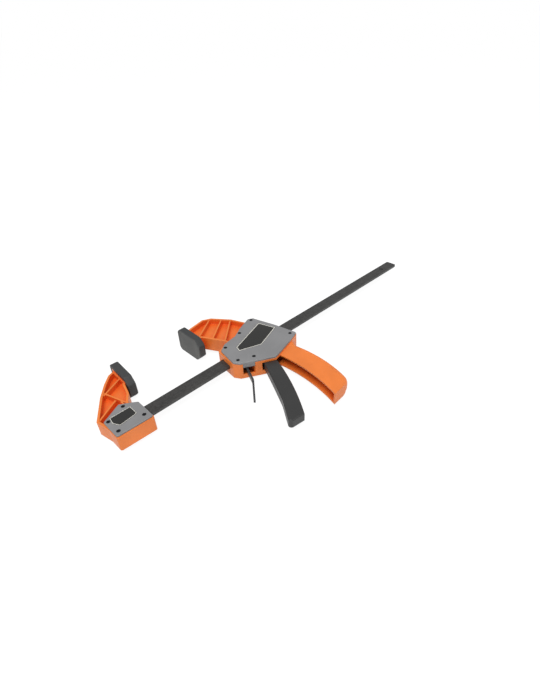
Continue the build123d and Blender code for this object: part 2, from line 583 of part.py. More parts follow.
make_spring(DRIVE_END + SPRING_GAP, DRIVE_SEAT_X, DRIVE_SPRING_R, DRIVE_WIRE_R, DRIVE_TURNS,
            "drive_spring")
make_spring(BRAKE_START, BRAKE_SEAT_X, BRAKE_SPRING_R, BRAKE_WIRE_R, BRAKE_TURNS, "brake_spring")

# Release lever: drawn from the side, x down the plate from the fulcrum, y away from it
lever_line = [(-LEVER_HEAD, LEVER_MID), (LEVER_BEND_AT, LEVER_MID)]
lean = 0.0
for bend, run in zip(LEVER_BENDS, LEVER_RUNS):
    lean += radians(bend)
    lever_line.append((lever_line[-1][0] + run * cos(lean), lever_line[-1][1] - run * sin(lean)))
lever_length = LEVER_BEND_AT + sum(LEVER_RUNS)
with BuildPart() as release_lever:
    with BuildSketch(LEVER):
        with BuildLine():
            FilletPolyline(*lever_line, radius=LEVER_BEND_R)
        trace(line_width=LEVER_THICK)
    extrude(amount=LEVER_HALF_WIDTH, both=True)
    for side_sign in (1, -1):
        with BuildSketch(LEVER.offset(side_sign * (LEVER_HALF_WIDTH + LEVER_TAIL_HALF_WIDTH) / 2)):
            with Locations((LEVER_SHOULDER + lever_length, 0)):
                Rectangle(2 * lever_length, 2 * lever_length)
        extrude(amount=(LEVER_HALF_WIDTH - LEVER_TAIL_HALF_WIDTH) / 2, both=True, mode=Mode.SUBTRACT)
    with BuildSketch(LEVER):
        with Locations((LEVER_SLOT_AT, LEVER_MID)):
            Rectangle(BAR_WIDTH + LEVER_SLOT_PLAY, 4 * LEVER_THICK)
    extrude(amount=BAR_THICK / 2 + PLATE_GAP, both=True, mode=Mode.SUBTRACT)
write(release_lever, "release_lever")
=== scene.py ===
"""Finish of a quick release bar clamp: plastics, steels, rubber pads, badges, springs and studio.

The row frame is used throughout: +X along the bar, +Y towards the jaw tips, +Z out of the
covers, with the origin at the middle of the fixed pad's clamping face. Lengths are metres.
"""
import math

import bpy
import numpy as np
from mathutils import Matrix, Vector


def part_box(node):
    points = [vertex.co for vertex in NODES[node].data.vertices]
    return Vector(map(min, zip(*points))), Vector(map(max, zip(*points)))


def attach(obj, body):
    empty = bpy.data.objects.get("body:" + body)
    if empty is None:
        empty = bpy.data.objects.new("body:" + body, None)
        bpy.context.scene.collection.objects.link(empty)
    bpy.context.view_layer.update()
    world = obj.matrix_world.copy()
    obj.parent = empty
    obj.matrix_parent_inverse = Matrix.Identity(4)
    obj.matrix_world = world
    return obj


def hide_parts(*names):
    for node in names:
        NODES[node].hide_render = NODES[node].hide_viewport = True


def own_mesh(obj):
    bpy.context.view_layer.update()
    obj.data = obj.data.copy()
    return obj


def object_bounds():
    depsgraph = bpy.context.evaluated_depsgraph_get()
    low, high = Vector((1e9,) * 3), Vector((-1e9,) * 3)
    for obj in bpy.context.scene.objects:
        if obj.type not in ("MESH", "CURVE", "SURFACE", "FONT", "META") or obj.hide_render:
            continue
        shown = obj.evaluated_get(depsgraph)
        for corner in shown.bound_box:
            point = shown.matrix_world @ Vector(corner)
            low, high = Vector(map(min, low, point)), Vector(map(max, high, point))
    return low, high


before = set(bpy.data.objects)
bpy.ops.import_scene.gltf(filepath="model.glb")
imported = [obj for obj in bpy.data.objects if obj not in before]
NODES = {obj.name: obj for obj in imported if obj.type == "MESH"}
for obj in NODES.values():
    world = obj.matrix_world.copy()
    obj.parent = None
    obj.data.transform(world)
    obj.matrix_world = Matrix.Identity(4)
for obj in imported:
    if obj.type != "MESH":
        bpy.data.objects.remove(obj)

CAD_LOW, CAD_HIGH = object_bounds()
MM = 0.001

# ------------------------------------------------------------------ finishes, linear colour
ORANGE = (0.82, 0.205, 0.032)
ORANGE_PALE = (0.92, 0.28, 0.08)
# painted shade: the deeper, redder orange painted into the housings' pockets
ORANGE_PAINTED_SHADE = (0.76, 0.115, 0.012)
COVER_GREY = (0.226, 0.226, 0.231)
COVER_GREY_PALE = (0.33, 0.33, 0.335)
TRIGGER_BLACK = (0.028, 0.028, 0.028)
TRIGGER_SCUFF = (0.070, 0.070, 0.068)
RUBBER_BLACK = (0.038, 0.040, 0.041)
RUBBER_DUST = (0.085, 0.085, 0.083)
RUBBER_CHALK = (0.100, 0.101, 0.097)
BAR_BLACK = (0.042, 0.041, 0.040)
BAR_BLOTCH = (0.064, 0.063, 0.061)
BAR_RUB = (0.10, 0.098, 0.094)
BADGE_DARK = (0.016, 0.016, 0.015)
BADGE_LINE = (0.58, 0.57, 0.52)
SCREW_BLACK = (0.018, 0.018, 0.022)
STEEL = (0.50, 0.50, 0.51)
LEVER_STEEL = (0.075, 0.076, 0.079)
FLOOR_WHITE = (0.86, 0.86, 0.86)

# ------------------------------------------------------------------ scales and shares of the effects
COARSE_CELLS, FINE_SHARE = 0.31, 0.65
CLOUDS_PER_METRE, RUBS_PER_METRE, SMUDGES_PER_METRE = 22.0, 130.0, 38.0
LEVEL_STREAKS, SLANTED_STREAKS, STREAK_TURN = (60, 900, 60), (800, 70, 70), (0.2, 0.1, 0.9)
FINE_LINES, BROAD_LINES, BROAD_SHARE = (0.012, 1, 1), (0.05, 1, 1), 0.12
# reach of the ambient occlusion that paints shade into pockets
POCKET_SHADE_REACH = 0.022
PLASTIC_DEEP, STEEL_DEEP = 0.90, 0.78
CHALK_LEAST, CHALK_SPREAD = 0.65, 0.35
PLASTIC_SMUDGE, STEEL_SMUDGE = -0.10, -0.06
MARK_DULLING, LINE_DULLING = 0.15, 0.22
GRAIN_STRENGTH = 0.5
LINE_DEPTH, LINE_STRENGTH = 0.00004, 0.4
STEEL_SCUFF = 0.35
BLOTCHES_PER_METRE, BLOTCH_LOW, BLOTCH_HIGH = 420.0, 0.36, 0.64


# ================================================================== node helpers
def group_with(name, inputs, outputs):
    """A new shader node group with its named sockets, its input node and its output node."""
    tree = bpy.data.node_groups.new(name, "ShaderNodeTree")
    for label, kind, value in inputs:
        socket = tree.interface.new_socket(name=label, in_out="INPUT", socket_type=kind)
        socket.default_value = value
    for label, kind in outputs:
        tree.interface.new_socket(name=label, in_out="OUTPUT", socket_type=kind)
    return tree, tree.nodes.new("NodeGroupInput"), tree.nodes.new("NodeGroupOutput")


def calc(tree, operation, first, second=None, third=None, clamp=False):
    """A Math node fed by sockets or numbers; returns its output socket."""
    node = tree.nodes.new("ShaderNodeMath")
    node.operation = operation
    node.use_clamp = clamp
    for slot, value in enumerate((first, second, third)):
        if value is None:
            continue
        if isinstance(value, (int, float)):
            node.inputs[slot].default_value = value
        else:
            tree.links.new(value, node.inputs[slot])
    return node.outputs[0]


def blend_colour(tree, factor, first, second):
    """A colour mix by a mask; each colour is a socket or a linear triple."""
    node = tree.nodes.new("ShaderNodeMix")
    node.data_type = "RGBA"
    tree.links.new(factor, node.inputs["Factor"])
    for label, value in ((6, first), (7, second)):
        if isinstance(value, tuple):
            node.inputs[label].default_value = (*value, 1.0)
        else:
            tree.links.new(value, node.inputs[label])
    return node.outputs[2]


def stretched_noise(tree, place, stretch, scale, detail, rough=0.5):
    """Noise on object coordinates stretched by three factors; returns its value socket."""
    mapping = tree.nodes.new("ShaderNodeMapping")
    mapping.inputs["Scale"].default_value = stretch
    tree.links.new(place, mapping.inputs["Vector"])
    noise = tree.nodes.new("ShaderNodeTexNoise")
    noise.inputs["Detail"].default_value = detail
    noise.inputs["Roughness"].default_value = rough
    tree.links.new(mapping.outputs[0], noise.inputs["Vector"])
    if isinstance(scale, (int, float)):
        noise.inputs["Scale"].default_value = scale
    else:
        tree.links.new(scale, noise.inputs["Scale"])
    return noise.outputs["Fac"]


def ramp(tree, value, low, high):
    """Smooth step of a value between low and high, from 0 to 1."""
    node = tree.nodes.new("ShaderNodeMapRange")
    node.interpolation_type = "SMOOTHSTEP"
    tree.links.new(value, node.inputs["Value"])
    node.inputs["From Min"].default_value = low
    node.inputs["From Max"].default_value = high
    return node.outputs[0]


# ================================================================== shared effects
def make_moulded_grain():
    """Spark-eroded mould texture: two sizes of fine noise for height, and slow cloudy mottling."""
    tree, given, out = group_with(
        "moulded_grain",
        [("Cells per metre", "NodeSocketFloat", 1600.0)],
        [("Height", "NodeSocketFloat"), ("Mottle", "NodeSocketFloat")])
    place = tree.nodes.new("ShaderNodeTexCoord").outputs["Object"]
    fine = stretched_noise(tree, place, (1, 1, 1), given.outputs[0], 2.0)
    fewer = calc(tree, "MULTIPLY", given.outputs[0], COARSE_CELLS)
    coarse = stretched_noise(tree, place, (1, 1, 1), fewer, 2.0)
    height = calc(tree, "ADD", calc(tree, "MULTIPLY", fine, FINE_SHARE),
                  calc(tree, "MULTIPLY", coarse, 1.0 - FINE_SHARE))
    clouds = stretched_noise(tree, place, (1, 1, 1), CLOUDS_PER_METRE, 3.0)
    tree.links.new(height, out.inputs["Height"])
    tree.links.new(ramp(tree, clouds, 0.35, 0.65), out.inputs["Mottle"])
    return tree


def make_worn_edge():
    """A rounded normal near edges, and a broken mask of where handling has rubbed them."""
    tree, given, out = group_with(
        "worn_edge",
        [("Width", "NodeSocketFloat", 0.0006), ("Wear", "NodeSocketFloat", 0.5)],
        [("Normal", "NodeSocketVector"), ("Rubbed", "NodeSocketFloat")])
    bevel = tree.nodes.new("ShaderNodeBevel")
    bevel.samples = 6
    tree.links.new(given.outputs["Width"], bevel.inputs["Radius"])
    face = tree.nodes.new("ShaderNodeNewGeometry")
    turn = tree.nodes.new("ShaderNodeVectorMath")
    turn.operation = "DOT_PRODUCT"
    tree.links.new(bevel.outputs[0], turn.inputs[0])
    tree.links.new(face.outputs["Normal"], turn.inputs[1])
    edge = ramp(tree, calc(tree, "SUBTRACT", 1.0, turn.outputs["Value"]), 0.015, 0.16)
    place = tree.nodes.new("ShaderNodeTexCoord").outputs["Object"]
    broken = ramp(tree, stretched_noise(tree, place, (1, 1, 1), RUBS_PER_METRE, 3.0), 0.40, 0.62)
    worn = calc(tree, "MULTIPLY", edge, broken)
    rubbed = calc(tree, "MULTIPLY", worn, given.outputs["Wear"], clamp=True)
    tree.links.new(bevel.outputs[0], out.inputs["Normal"])
    tree.links.new(rubbed, out.inputs["Rubbed"])
    return tree


def make_scuffs():
    """Handling marks: sparse thin streaks that cross at two slants, over soft smudges."""
    tree, given, out = group_with(
        "handling_scuffs",
        [("Amount", "NodeSocketFloat", 0.4)],
        [("Mask", "NodeSocketFloat"), ("Smudge", "NodeSocketFloat")])
    place = tree.nodes.new("ShaderNodeTexCoord").outputs["Object"]
    level = ramp(tree, stretched_noise(tree, place, LEVEL_STREAKS, 1.0, 2.0), 0.67, 0.76)
    turned = tree.nodes.new("ShaderNodeMapping")
    turned.inputs["Rotation"].default_value = STREAK_TURN
    tree.links.new(place, turned.inputs["Vector"])
    slanted = ramp(tree, stretched_noise(tree, turned.outputs[0], SLANTED_STREAKS, 1.0, 2.0), 0.68, 0.77)
    crossed = calc(tree, "MAXIMUM", level, slanted)
    streaks = calc(tree, "MULTIPLY", crossed, given.outputs["Amount"], clamp=True)
    cloudy = stretched_noise(tree, place, (1, 1, 1), SMUDGES_PER_METRE, 4.0, 0.6)
    smudge = ramp(tree, cloudy, 0.42, 0.72)
    tree.links.new(streaks, out.inputs["Mask"])
    tree.links.new(smudge, out.inputs["Smudge"])
    return tree


def make_drawn_lines():
    """Fine lines along X, as rolling and polishing leave on bar stock: noise stretched hard along X."""
    tree, given, out = group_with(
        "drawn_lines",
        [("Lines per metre", "NodeSocketFloat", 2600.0)],
        [("Height", "NodeSocketFloat"), ("Shade", "NodeSocketFloat")])
    place = tree.nodes.new("ShaderNodeTexCoord").outputs["Object"]
    fine = stretched_noise(tree, place, FINE_LINES, given.outputs[0], 3.0)
    fewer = calc(tree, "MULTIPLY", given.outputs[0], BROAD_SHARE)
    broad = stretched_noise(tree, place, BROAD_LINES, fewer, 3.0)
    tree.links.new(fine, out.inputs["Height"])
    tree.links.new(ramp(tree, broad, 0.35, 0.68), out.inputs["Shade"])
    return tree


def make_sheltered():
    """Painted pocket shade mask: how deep in a pocket a point lies, one minus ambient occlusion from its
    own piece over a reach.
    """
    tree, given, out = group_with(
        "sheltered",
        [("Reach", "NodeSocketFloat", 0.02)],
        [("Mask", "NodeSocketFloat")])
    hidden = tree.nodes.new("ShaderNodeAmbientOcclusion")
    hidden.samples = 8
    hidden.only_local = True
    tree.links.new(given.outputs["Reach"], hidden.inputs["Distance"])
    closed = calc(tree, "SUBTRACT", 1.0, hidden.outputs["AO"])
    tree.links.new(ramp(tree, closed, 0.10, 0.60), out.inputs["Mask"])
    return tree


GRAIN = make_moulded_grain()
WORN = make_worn_edge()
SCUFFS = make_scuffs()
LINES = make_drawn_lines()
# mask for the painted shade in pockets
POCKET_SHADE_GROUP = make_sheltered()


def place_group(tree, group, **values):
    """An instance of a shared effect in a material, with its own values."""
    node = tree.nodes.new("ShaderNodeGroup")
    node.node_tree = group
    for label, value in values.items():
        node.inputs[label.replace("_", " ")].default_value = value
    return node


def start_material(name, colour):
    """A material with only its Principled shader wired to the output."""
    material = bpy.data.materials.new(name)
    material.use_nodes = True
    material.diffuse_color = (*colour, 1.0)
    tree = material.node_tree
    return material, tree, tree.nodes["Principled BSDF"]


def bump(tree, shader, height, distance, strength, normal=None):
    """A bump from a height socket into the shader's normal, on top of another normal."""
    node = tree.nodes.new("ShaderNodeBump")
    node.inputs["Distance"].default_value = distance
    node.inputs["Strength"].default_value = strength
    tree.links.new(height, node.inputs["Height"])
    if normal is not None:
        tree.links.new(normal, node.inputs["Normal"])
    tree.links.new(node.outputs[0], shader.inputs["Normal"])


def moulded_plastic(name, colour, pale, rough, cells, depth, edge_width, wear, scuff,
                    chalk=None, painted_shade_colour=None):
    """Grained injection moulding: cloudy tone, pale rubbed edges, faint scuffs, fine grain.

    With a chalk colour, the surface is dusted where the mesh's "contact" attribute nears 1.
    With a painted shade colour, its pockets are painted in that deeper, redder tone by an ambient
    occlusion mask: painted shade in place of the light bounced about the recesses.
    """
    material, tree, shader = start_material(name, colour)
    grain = place_group(tree, GRAIN, Cells_per_metre=cells)
    worn = place_group(tree, WORN, Width=edge_width, Wear=wear)
    scuffs = place_group(tree, SCUFFS, Amount=scuff)
    deep = tuple(PLASTIC_DEEP * c for c in colour)
    body = blend_colour(tree, grain.outputs["Mottle"], deep, colour)
    if chalk is not None:
        contact = tree.nodes.new("ShaderNodeAttribute")
        contact.attribute_name = "contact"
        patchy = calc(tree, "MULTIPLY_ADD", grain.outputs["Mottle"], CHALK_SPREAD, CHALK_LEAST)
        dusted = calc(tree, "MULTIPLY", contact.outputs["Fac"], patchy)
        body = blend_colour(tree, dusted, body, chalk)
    # painted shade: pockets are tinted towards a deeper, redder colour by ambient occlusion
    if painted_shade_colour is not None:
        sheltered = place_group(tree, POCKET_SHADE_GROUP, Reach=POCKET_SHADE_REACH)
        body = blend_colour(tree, sheltered.outputs["Mask"], body, painted_shade_colour)
    mark = calc(tree, "MAXIMUM", worn.outputs["Rubbed"], scuffs.outputs["Mask"])
    tree.links.new(blend_colour(tree, mark, body, pale), shader.inputs["Base Color"])
    smudged = calc(tree, "MULTIPLY_ADD", scuffs.outputs["Smudge"], PLASTIC_SMUDGE, rough)
    marked = calc(tree, "MULTIPLY_ADD", mark, MARK_DULLING, smudged, clamp=True)
    tree.links.new(marked, shader.inputs["Roughness"])
    bump(tree, shader, grain.outputs["Height"], depth, GRAIN_STRENGTH, worn.outputs["Normal"])
    return material


def drawn_steel(name, colour, rub, rough, metallic, lines, edge_width, wear, blotch=None):
    """Drawn steel, black or bright, with fine lines along its length and rubbed edges.

    With a blotch colour, its oxide is patchy: it pales to that colour in spots of a few mm.
    """
    material, tree, shader = start_material(name, colour)
    drawn = place_group(tree, LINES, Lines_per_metre=lines)
    worn = place_group(tree, WORN, Width=edge_width, Wear=wear)
    scuffs = place_group(tree, SCUFFS, Amount=STEEL_SCUFF)
    deep = tuple(STEEL_DEEP * c for c in colour)
    shade = blend_colour(tree, drawn.outputs["Shade"], deep, colour)
    if blotch is not None:
        patches = place_group(tree, GRAIN, Cells_per_metre=BLOTCHES_PER_METRE)
        paled = ramp(tree, patches.outputs["Height"], BLOTCH_LOW, BLOTCH_HIGH)
        shade = blend_colour(tree, paled, shade, blotch)
    mark = calc(tree, "MAXIMUM", worn.outputs["Rubbed"], scuffs.outputs["Mask"])
    tree.links.new(blend_colour(tree, mark, shade, rub), shader.inputs["Base Color"])
    shader.inputs["Metallic"].default_value = metallic
    lined = calc(tree, "MULTIPLY_ADD", drawn.outputs["Height"], LINE_DULLING, rough - LINE_DULLING / 2)
    smudged = calc(tree, "MULTIPLY_ADD", scuffs.outputs["Smudge"], STEEL_SMUDGE, lined, clamp=True)
    tree.links.new(smudged, shader.inputs["Roughness"])
    bump(tree, shader, drawn.outputs["Height"], LINE_DEPTH, LINE_STRENGTH, worn.outputs["Normal"])
    return material


FINISHES = {
    # the housings' pockets carry painted shade in a deeper orange
    "orange_nylon": moulded_plastic(
        "orange_nylon", ORANGE, ORANGE_PALE, rough=0.46, cells=1500.0, depth=0.00004,
        edge_width=0.0009, wear=0.35, scuff=0.10, painted_shade_colour=ORANGE_PAINTED_SHADE),
    "grey_cover": moulded_plastic(
        "grey_cover", COVER_GREY, COVER_GREY_PALE, rough=0.42, cells=1900.0, depth=0.00004,
        edge_width=0.0006, wear=0.5, scuff=0.16),
    "black_nylon": moulded_plastic(
        "black_nylon", TRIGGER_BLACK, TRIGGER_SCUFF, rough=0.48, cells=1300.0, depth=0.00008,
        edge_width=0.0010, wear=0.6, scuff=0.22),
    "black_rubber": moulded_plastic(
        "black_rubber", RUBBER_BLACK, RUBBER_DUST, rough=0.66, cells=1100.0, depth=0.00010,
        edge_width=0.0009, wear=0.5, scuff=0.10, chalk=RUBBER_CHALK),
    "badge_insert": moulded_plastic(
        "badge_insert", BADGE_DARK, TRIGGER_SCUFF, rough=0.30, cells=2400.0, depth=0.00001,
        edge_width=0.0003, wear=0.2, scuff=0.12),
    "badge_border": moulded_plastic(
        "badge_border", BADGE_LINE, BADGE_LINE, rough=0.45, cells=700.0, depth=0.000004,
        edge_width=0.00005, wear=0.0, scuff=0.0),
    "black_steel": drawn_steel(
        "black_steel", BAR_BLACK, BAR_RUB, rough=0.42, metallic=0.35, lines=2600.0,
        edge_width=0.0006, wear=0.75, blotch=BAR_BLOTCH),
    "black_screw": drawn_steel(
        "black_screw", SCREW_BLACK, LEVER_STEEL, rough=0.36, metallic=0.6, lines=3000.0,
        edge_width=0.0003, wear=0.5),
    "lever_steel": drawn_steel(
        "lever_steel", LEVER_STEEL, BAR_RUB, rough=0.38, metallic=0.6, lines=2200.0,
        edge_width=0.0005, wear=0.6),
    "bright_steel": drawn_steel(
        "bright_steel", STEEL, STEEL, rough=0.26, metallic=1.0, lines=3000.0,
        edge_width=0.0003, wear=0.2),
    "spring_steel": drawn_steel(
        "spring_steel", STEEL, STEEL, rough=0.30, metallic=1.0, lines=3000.0,
        edge_width=0.0002, wear=0.2),
}


# ================================================================== surfaces
def surface_piece(name, rings, body, finish, cap_start=True, cap_end=True):
    """A closed piece from rings of points, an array (rings, points, 3).

    Neighbouring rings are joined by quads and each ring is closed on itself; an end ring is
    capped by a fan to its own mean point.
    """
    count, around = rings.shape[:2]
    points = rings.reshape(-1, 3)
    here = np.arange(count - 1)[:, None] * around + np.arange(around)[None, :]
    beside = np.arange(count - 1)[:, None] * around + (np.arange(around)[None, :] + 1) % around
    quads = np.stack([here, beside, beside + around, here + around], axis=-1).reshape(-1, 4)
    faces = quads.tolist()
    for wanted, first, flip in ((cap_start, 0, True), (cap_end, (count - 1) * around, False)):
        if not wanted:
            continue
        centre = len(points)
        points = np.vstack([points, points[first:first + around].mean(axis=0)])
        edge = first + np.arange(around)
        fan = np.stack([edge, np.roll(edge, -1), np.full(around, centre)], axis=-1)
        faces += (fan[:, ::-1] if flip else fan).tolist()
    mesh = bpy.data.meshes.new(name)
    mesh.from_pydata(points.tolist(), [], faces)
    mesh.update()
    mesh.shade_smooth()
    piece = bpy.data.objects.new(name, mesh)
    bpy.context.scene.collection.objects.link(piece)
    mesh.materials.append(FINISHES[finish])
    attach(piece, body)
    return piece


def sided_radius(directions, sides, inset, sharpness):
    """Distance from the middle to a rounded polygon along each direction.

    Each side is an outward normal angle and its distance from the middle. The radius is a soft
    minimum of the distances at which a ray meets the sides, so a higher sharpness p gives
    tighter corners: r = (sum (cos(angle between) / (distance - inset)) ^ p) ^ (-1/p).
    """
    normals, reach = sides
    lean = np.cos(directions[:, None] - normals[None, :]).clip(0)
    pull = (lean / (reach[None, :] - inset)) ** sharpness
    return pull.sum(axis=1) ** (-1.0 / sharpness)


def sides_of(corners, middle=None):
    """Outward normal angle and distance from the middle, of each side of a convex outline."""
    corners = np.asarray(corners, float)
    middle = corners.mean(axis=0) if middle is None else middle
    run = np.roll(corners, -1, axis=0) - corners
    normal = np.stack([run[:, 1], -run[:, 0]], axis=1)
    normal /= np.linalg.norm(normal, axis=1)[:, None]
    reach = ((corners - middle) * normal).sum(axis=1)
    normal *= np.sign(reach)[:, None]
    return middle, (np.arctan2(normal[:, 1], normal[:, 0]), np.abs(reach))


# ------------------------------------------------------------------ rubber pads
PAD_HEIGHT, PAD_WIDTH, PAD_THICK = 62.0 * MM, 43.0 * MM, 13.5 * MM
PAD_TIP_CUT, PAD_ROOT_CUT = 5.0 * MM, 11.0 * MM
POCKET_HEIGHT, POCKET_WIDTH, POCKET_DEPTH = 48.3 * MM, 29.3 * MM, 6.65 * MM
PAD_AROUND, PAD_EDGE_STEPS = 240, 7
PAD_SHARPNESS, POCKET_SHARPNESS = 46.0, 90.0
PAD_EDGE = 1.8 * MM
POCKET_FLOOR_INSET = 0.012
MOUTH_DEPTH, MOUTH_FLARE = 0.2 * MM, 0.3 * MM
BACK_EDGE, BACK_EDGE_MIDDLE = 0.7 * MM, 0.2 * MM
FACE_RIM, FACE_MIDDLE = 0.25 * MM, 8 * MM


def pad_corners():
    """The pad's outline as height and width from its middle, in order round it."""
    tip, half = PAD_HEIGHT / 2, PAD_WIDTH / 2
    return [(tip, half - PAD_TIP_CUT), (tip - PAD_TIP_CUT, half), (-tip + PAD_ROOT_CUT, half),
            (-tip, half - PAD_ROOT_CUT), (-tip, -half + PAD_ROOT_CUT), (-tip + PAD_ROOT_CUT, -half),
            (tip - PAD_TIP_CUT, -half), (tip, -half + PAD_TIP_CUT)]


def rubber_pad(name, node, body, face_middle, outward):
    """A rubber boot: rings of a rounded eight-sided outline, from the pocket's floor to the face.

    Each row is (radius in each direction, depth behind the clamping face); the pocket's rows
    follow its rectangle and the outer ones follow the outline, with a rounded edge at the face.
    The contact attribute is 1 - depth / edge, so that the face is dusted and the sides are not.
    """
    directions = np.linspace(0, 2 * np.pi, PAD_AROUND, endpoint=False)
    middle, outline = sides_of(pad_corners())
    pocket_corners = [(POCKET_HEIGHT / 2, POCKET_WIDTH / 2), (-POCKET_HEIGHT / 2, POCKET_WIDTH / 2),
                      (-POCKET_HEIGHT / 2, -POCKET_WIDTH / 2), (POCKET_HEIGHT / 2, -POCKET_WIDTH / 2)]
    pocket = sides_of(pocket_corners)[1]

    def inner(inset):
        return sided_radius(directions, pocket, inset, POCKET_SHARPNESS)

    def outer(inset):
        return sided_radius(directions, outline, inset, PAD_SHARPNESS)

    bend = np.linspace(0, np.pi / 2, PAD_EDGE_STEPS)
    rows = [(inner(POCKET_FLOOR_INSET), PAD_THICK - POCKET_DEPTH),
            (inner(0.0), PAD_THICK - POCKET_DEPTH),
            (inner(0.0), PAD_THICK - MOUTH_DEPTH),
            (inner(-MOUTH_FLARE), PAD_THICK)]
    rows += [(outer(BACK_EDGE), PAD_THICK),
             (outer(BACK_EDGE_MIDDLE), PAD_THICK - BACK_EDGE_MIDDLE),
             (outer(0.0), PAD_THICK - BACK_EDGE)]
    rows += [(outer(PAD_EDGE * (1 - math.cos(a))), PAD_EDGE * (1 - math.sin(a))) for a in bend]
    rows += [(outer(PAD_EDGE + FACE_RIM), 0.0), (outer(FACE_MIDDLE), 0.0)]
    forward = Vector(outward).normalized()
    up = Vector((-forward.y, forward.x, 0.0))
    if up.y < 0:
        up = -up
    rings = []
    for radius, depth in rows:
        height = middle[0] + radius * np.cos(directions)
        width = middle[1] + radius * np.sin(directions)
        ring = (np.array(face_middle)[None, :] + height[:, None] * np.array(up)[None, :]
                + width[:, None] * np.array((0.0, 0.0, 1.0))[None, :]
                - depth * np.array(forward)[None, :])
        rings.append(ring)
    rings = np.array(rings)
    if np.dot(np.cross(np.array(up), (0, 0, 1)), np.array(forward)) < 0:
        rings = rings[:, ::-1]
    piece = surface_piece(name, rings, body, "black_rubber")
    depths = np.array([depth for _, depth in rows])
    near_face = (1.0 - depths / PAD_EDGE).clip(0, 1)
    cap_contact = (0.0, 1.0)
    contact = np.append(np.repeat(near_face, PAD_AROUND), cap_contact)
    piece.data.attributes.new("contact", "FLOAT", "POINT").data.foreach_set("value", contact)
    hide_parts(node)


TOE_IN = math.radians(3.0)
OPENING = 120.0 * MM
rubber_pad("fixed_pad_boot", "fixed_jaw_pad", "frame", (0, 0, 0),
           (math.cos(TOE_IN), -math.sin(TOE_IN), 0))
rubber_pad("moving_pad_boot", "moving_jaw_pad", "head", (OPENING, 0, 0), (-1, 0, 0))

# ------------------------------------------------------------------ badges
# Outlines are in mm: x along the bar from the jaw's own pad face, and y from the bar's centre line
# towards the jaw tips.
REACH = 88.0 * MM
FIXED_BADGE = [(-37.0, 11.5), (-37.0, -5.0), (-61.5, -9.5), (-68.0, 4.0), (-63.5, 12.0)]
HEAD_BADGE = [(117.5, 32.5), (128.5, -1.0), (76.5, -20.0), (37.5, -5.5), (41.0, 6.5)]
FIXED_PLATE = [(-36.2, 13.4), (-36.2, -5.2), (-40.2, -7.0), (-65.6, -10.2), (-71.6, 1.0), (-69.6, 13.5)]
FIXED_TOP, HEAD_TOP = 14.4 * MM, 15.8 * MM
PLATE_RISE, PLATE_ROUND, PLATE_SEAT = 0.32 * MM, 0.2 * MM, 0.78 * MM
PLUG_INSET, PLUG_FOOT_INSET = 0.2 * MM, 0.9 * MM
LID_INSET, LID_CLEARANCE = 0.1 * MM, 0.004 * MM
FLAT_RIM, FLAT_MIDDLE = 0.05 * MM, 1.0 * MM
BORDER_RISE, BORDER_ROOT = 0.08 * MM, 0.05 * MM
FIXED_SHARPNESS, HEAD_SHARPNESS = 70.0, 160.0
BADGE_AROUND, RIM_STEPS, CROWN_STEPS = 400, 4, 7


def badge_plate(name, node, body, outline, seat, top, sharpness):
    """A thin plate that laps over its recess: a plug of the recess's outline under a wider lid.

    Rings about the lid's middle: the plug's foot and shoulder, then the lid's underside, its
    wall, a quarter round over its rim and two rings on its flat face, all at the outlines'
    radius less an inset.
    """
    directions = np.linspace(0, 2 * np.pi, BADGE_AROUND, endpoint=False)
    middle, lid = sides_of(np.array(outline) * MM)
    plug = sides_of(np.array(seat) * MM, middle)[1]
    bend = np.linspace(0, np.pi / 2, RIM_STEPS)
    rows = [(plug, PLUG_FOOT_INSET, -PLATE_SEAT), (plug, PLUG_INSET, -PLATE_SEAT),
            (plug, PLUG_INSET, 0.0), (lid, LID_INSET, LID_CLEARANCE)]
    rows += [(lid, PLATE_ROUND * (1 - math.cos(a)), PLATE_RISE - PLATE_ROUND * (1 - math.sin(a)))
             for a in bend]
    rows += [(lid, PLATE_ROUND + further, PLATE_RISE) for further in (FLAT_RIM, FLAT_MIDDLE)]
    rings = []
    for sides, inset, height in rows:
        radius = sided_radius(directions, sides, inset, sharpness)
        rings.append(np.stack([middle[0] + radius * np.cos(directions),
                               middle[1] + radius * np.sin(directions) - REACH,
                               np.full_like(radius, top + height)], axis=1))
    piece = surface_piece(name, np.array(rings), body, "badge_insert")
    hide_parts(node)


def badge_border(name, body, outline, along, top, inset, width, sharpness):
    """A pale line round a badge: a low rounded section carried round the badge's outline.

    The section runs from its inner foot over a half-round crown to its outer foot; at each
    direction from the middle its points sit at the outline's radius less their inset.
    """
    directions = np.linspace(0, 2 * np.pi, BADGE_AROUND, endpoint=False)
    middle, sides = sides_of(np.array(outline) * MM)
    turn = np.linspace(0, np.pi, CROWN_STEPS)
    insets = inset + width / 2 * (1 + np.cos(turn))
    heights = top + BORDER_RISE * np.sin(turn)
    section = [(inset + width, top - BORDER_ROOT), *zip(insets, heights), (inset, top - BORDER_ROOT)]
    rings = []
    for step_in, height in section:
        radius = sided_radius(directions, sides, step_in, sharpness)
        x = middle[0] + radius * np.cos(directions) + along
        y = middle[1] + radius * np.sin(directions) - REACH
        rings.append(np.stack([x, y, np.full_like(x, height)], axis=1))
    rings.append(rings[0])
    rings = np.array(rings)[::-1]
    piece = surface_piece(name, rings, body, "badge_border", cap_start=False, cap_end=False)


badge_plate("fixed_badge_plate", "fixed_jaw_badge", "frame", FIXED_PLATE, seat=FIXED_BADGE,
            top=FIXED_TOP, sharpness=FIXED_SHARPNESS)
badge_border("head_badge_border", "head", HEAD_BADGE, along=OPENING, top=HEAD_TOP,
             inset=0.5 * MM, width=1.7 * MM, sharpness=HEAD_SHARPNESS)
badge_border("fixed_badge_border", "frame", FIXED_PLATE, along=0.0, top=FIXED_TOP + PLATE_RISE,
             inset=0.25 * MM, width=1.0 * MM, sharpness=FIXED_SHARPNESS)

# ------------------------------------------------------------------ springs inside the head
SPRING_AXIS = -107.0 * MM
COIL_STEPS, WIRE_AROUND = 28, 10
CLOSED_TURNS, OPENING_TURNS = 0.75, 0.5
CLOSED_PITCH = 2.05


